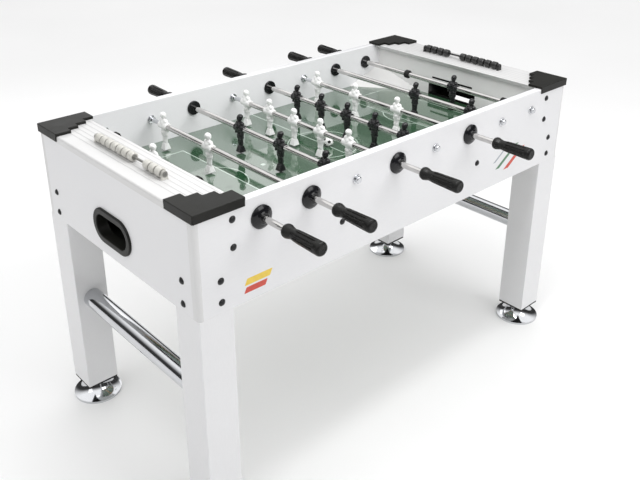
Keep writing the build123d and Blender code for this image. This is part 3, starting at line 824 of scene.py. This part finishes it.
def rounded_post(bm, x, y, foot_z):
    """A flat post with a flared foot and a round top, its edges bevelled."""
    half = post_width / 2
    outline = [(-half - post_flare, 0.0), (half + post_flare, 0.0), (half, flare_height)]
    top = (score_z - foot_z) / MM
    for step in range(top_steps + 1):
        angle = math.pi * step / top_steps
        outline.append((half * math.cos(angle), top + half * math.sin(angle)))
    outline.append((-half, flare_height))
    rings = []
    middle = Vector((0.0, top / 2))
    for across, shrink in ((-0.5, post_bevel), (-0.42, 0.0), (0.42, 0.0), (0.5, post_bevel)):
        ring = []
        for corner in outline:
            point = Vector(corner)
            point = point + (middle - point).normalized() * shrink
            height = max(point.y, 0.0) * MM
            ring.append(bm.verts.new((x + point.x * MM, y + across * post_thickness * MM, foot_z + height)))
        rings.append(ring)
    for first, second in zip(rings, rings[1:]):
        for step in range(len(outline)):
            after = (step + 1) % len(outline)
            bm.faces.new((first[step], first[after], second[after], second[step]))
    bm.faces.new(rings[0])
    bm.faces.new(reversed(rings[-1]))


def bead_profile():
    """Half section of a bead, with a narrow neck at each end where it meets the next one."""
    half = bead_pitch / 2 - bead_margin
    quarter = smooth_profile(
        [(5.0, 2.4 - half), (8.8, 2.6 - half), (10.9, 4.0 - half), (11.8, 6.4 - half), (11.9, -3.5)], 4
    )
    other = [(radius, -height) for radius, height in reversed(quarter)]
    start = [(bead_hole, 0.4 - half), (4.6, -half)]
    end = [(4.6, half), (bead_hole, half - 0.4)]
    return start + quarter + other + end


for side, sign in (("left", -1), ("right", 1)):
    colour = "score_white" if side == "left" else "score_black"
    bm = bmesh.new()
    half_rod = rods_high.y / MM
    place = Matrix.Translation((sign * score_x, 0, score_z)) @ turn_to_y
    lathe(bm, [(score_rod_radius, -half_rod), (score_rod_radius, half_rod)], rod_segments, place)
    for end in (-1, 1):
        rounded_post(bm, sign * score_x, end * (rods_high.y - post_thickness / 2 * MM), rods_low.z)
    mesh = finish_mesh(bm, f"{side}_scorer_stand")
    add_piece(f"{side}_scorer_stand", mesh, [colour], "cabinet", ["score_rods"])
    for where in ("front", "rear"):
        node = f"{side}_score_beads_{where}"
        low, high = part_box(node)
        count = round((high.y - low.y) / (bead_pitch * MM))
        bm = bmesh.new()
        for bead in range(count):
            y = low.y - bead_gap / 2 * MM + (bead + 0.5) * bead_pitch * MM
            place = Matrix.Translation((sign * score_x, y, score_z)) @ turn_to_y
            lathe(bm, bead_profile(), bead_segments, place)
        mesh = finish_mesh(bm, f"{side}_counters_{where}", sharp_degrees=50.0)
        add_piece(f"{side}_counters_{where}", mesh, [colour], node, [node])


# ---------------------------------------------------------------------------------------
# Plain coloured stripes on the front panel
# ---------------------------------------------------------------------------------------

sticker_thickness = 0.15
corner_cut = 1.2
corner_pull = 0.35


def slanted_stripe(name, finish_name, left, bottom, length, height, slant):
    """A thin slanted stripe with softened corners on the front face, in mm."""
    bm = bmesh.new()
    corners = [(0, 0), (length, 0), (length + slant, height), (slant, height)]
    outline = []
    for index, corner in enumerate(corners):
        here = Vector(corner)
        before = (Vector(corners[index - 1]) - here).normalized()
        after = (Vector(corners[(index + 1) % 4]) - here).normalized()
        outline += [
            here + before * corner_cut,
            here + (before + after) * corner_pull,
            here + after * corner_cut,
        ]
    back, front = [], []
    for point in outline:
        x = (left + point.x) * MM
        z = (bottom + point.y) * MM
        back.append(bm.verts.new((x, front_face, z)))
        front.append(bm.verts.new((x, front_face - sticker_thickness * MM, z)))
    bm.faces.new(front)
    bm.faces.new(reversed(back))
    for index in range(len(outline)):
        after = (index + 1) % len(outline)
        bm.faces.new((front[index], back[index], back[after], front[after]))
    mesh = finish_mesh(bm, name, sharp_degrees=30.0)
    add_piece(name, mesh, [finish_name], "cabinet")


slanted_stripe("left_stripe_yellow", "sticker_yellow", -578.0, 660.0, 74.0, 17.0, 8.0)
slanted_stripe("left_stripe_red", "sticker_red", -580.0, 640.0, 62.0, 15.0, 7.0)
slanted_stripe("right_stripe_green", "sticker_green", 366.0, 668.0, 19.0, 60.0, 92.0)
slanted_stripe("right_stripe_red", "sticker_red", 408.0, 656.0, 24.0, 54.0, 80.0)
slanted_stripe("right_stripe_grey", "sticker_grey", 352.0, 692.0, 11.0, 40.0, 60.0)


# ---------------------------------------------------------------------------------------
# Floor, light and camera
# ---------------------------------------------------------------------------------------

floor_half_size = 60.0
horizon_glow = 0.20
zenith_glow = 1.27
wall_gloss = 0.05
ceiling_gloss = 1.35
backdrop_glow = 0.93
bm = bmesh.new()
bmesh.ops.create_grid(bm, x_segments=8, y_segments=8, size=floor_half_size)
floor_mesh = bpy.data.meshes.new("floor")
bm.to_mesh(floor_mesh)
bm.free()
floor = bpy.data.objects.new("floor", floor_mesh)
bpy.context.scene.collection.objects.link(floor)
floor_mesh.materials.append(
    surface("studio_floor", grey(0.91), grey(0.94), (0.55, 0.70), patch=0.6, grain_scale=200.0)
)

world = bpy.data.worlds.new("studio")
bpy.context.scene.world = world
world.use_nodes = True
sky = world.node_tree
direction = sky.nodes.new("ShaderNodeTexCoord").outputs["Generated"]
parts = sky.nodes.new("ShaderNodeSeparateXYZ")
sky.links.new(direction, parts.inputs[0])
ray = sky.nodes.new("ShaderNodeLightPath")


def glow(strength):
    """A white background of a fixed or linked strength."""
    node = sky.nodes.new("ShaderNodeBackground")
    node.inputs["Color"].default_value = (1.0, 1.0, 1.0, 1.0)
    if isinstance(strength, bpy.types.NodeSocket):
        sky.links.new(strength, node.inputs["Strength"])
    else:
        node.inputs["Strength"].default_value = strength
    return node.outputs[0]


def dome(low_height, high_height, low_strength, high_strength):
    """A sky that brightens with height, where 0 is the horizon and 1 straight up."""
    node = sky.nodes.new("ShaderNodeMapRange")
    node.interpolation_type = "SMOOTHSTEP"
    sky.links.new(parts.outputs[2], node.inputs[0])
    for socket, value in zip(node.inputs[1:5], (low_height, high_height, low_strength, high_strength)):
        socket.default_value = value
    return glow(node.outputs[0])


def choose(when, otherwise, chosen):
    """The chosen background for rays of the kind in when, and the other one for the rest."""
    node = sky.nodes.new("ShaderNodeMixShader")
    for socket, value in zip(node.inputs, (when, otherwise, chosen)):
        sky.links.new(value, socket)
    return node.outputs[0]


# Diffuse light comes from a plain dome; shiny surfaces mirror darker walls under a bright ceiling
soft_dome = dome(-0.1, 1.0, horizon_glow, zenith_glow)
studio_walls = dome(0.30, 0.72, wall_gloss, ceiling_gloss)
lit = choose(ray.outputs["Is Glossy Ray"], soft_dome, studio_walls)
seen = choose(ray.outputs["Is Camera Ray"], lit, glow(backdrop_glow))
sky.links.new(seen, sky.nodes["World Output"].inputs["Surface"])


def soft_light(name, place, target, size, power):
    """A rectangular soft box, hidden from the camera, aimed at target."""
    lamp = bpy.data.lights.new(name, "AREA")
    lamp.shape = "RECTANGLE"
    lamp.size, lamp.size_y = size
    lamp.energy = power
    holder = bpy.data.objects.new(name, lamp)
    holder.location = place
    holder.visible_camera = False
    holder.rotation_euler = (Vector(target) - Vector(place)).to_track_quat("-Z", "Y").to_euler()
    bpy.context.scene.collection.objects.link(holder)


soft_light("key", (0.9, -3.6, 3.0), (0.0, 0.0, 0.6), (2.6, 1.8), 44.0)
soft_light("side", (-3.8, 0.4, 2.0), (0.0, 0.0, 0.6), (1.8, 1.4), 9.0)
soft_light("over_field", (0.0, -0.45, 1.6), (0.0, 0.34, 0.81), (1.0, 0.2), 7.0)
soft_light("overhead", (-0.2, 0.3, 3.6), (0.0, 0.0, 0.0), (2.4, 1.0), 5.0)
soft_light("rear_panel", (0.85, 2.7, 2.0), (-0.45, 0.0, 0.75), (1.9, 1.3), 8.0)

camera_place = Vector((-1.493, -1.613, 1.634))
camera_heading = math.radians(47.87)
camera_tilt = math.radians(23.49)
camera_shift = (0.0085, -0.12)
camera_lens = 44.59

camera_data = bpy.data.cameras.new("camera")
camera_data.lens = camera_lens
camera_data.sensor_width = 36.0
camera_data.shift_x, camera_data.shift_y = camera_shift
camera_data.clip_end = 200.0
camera = bpy.data.objects.new("camera", camera_data)
looking = Vector(
    (
        math.cos(camera_tilt) * math.cos(camera_heading),
        math.cos(camera_tilt) * math.sin(camera_heading),
        -math.sin(camera_tilt),
    )
)
camera.location = camera_place
camera.rotation_euler = looking.to_track_quat("-Z", "Y").to_euler()
bpy.context.scene.collection.objects.link(camera)
bpy.context.scene.camera = camera
bpy.context.scene.view_settings.view_transform = "Standard"
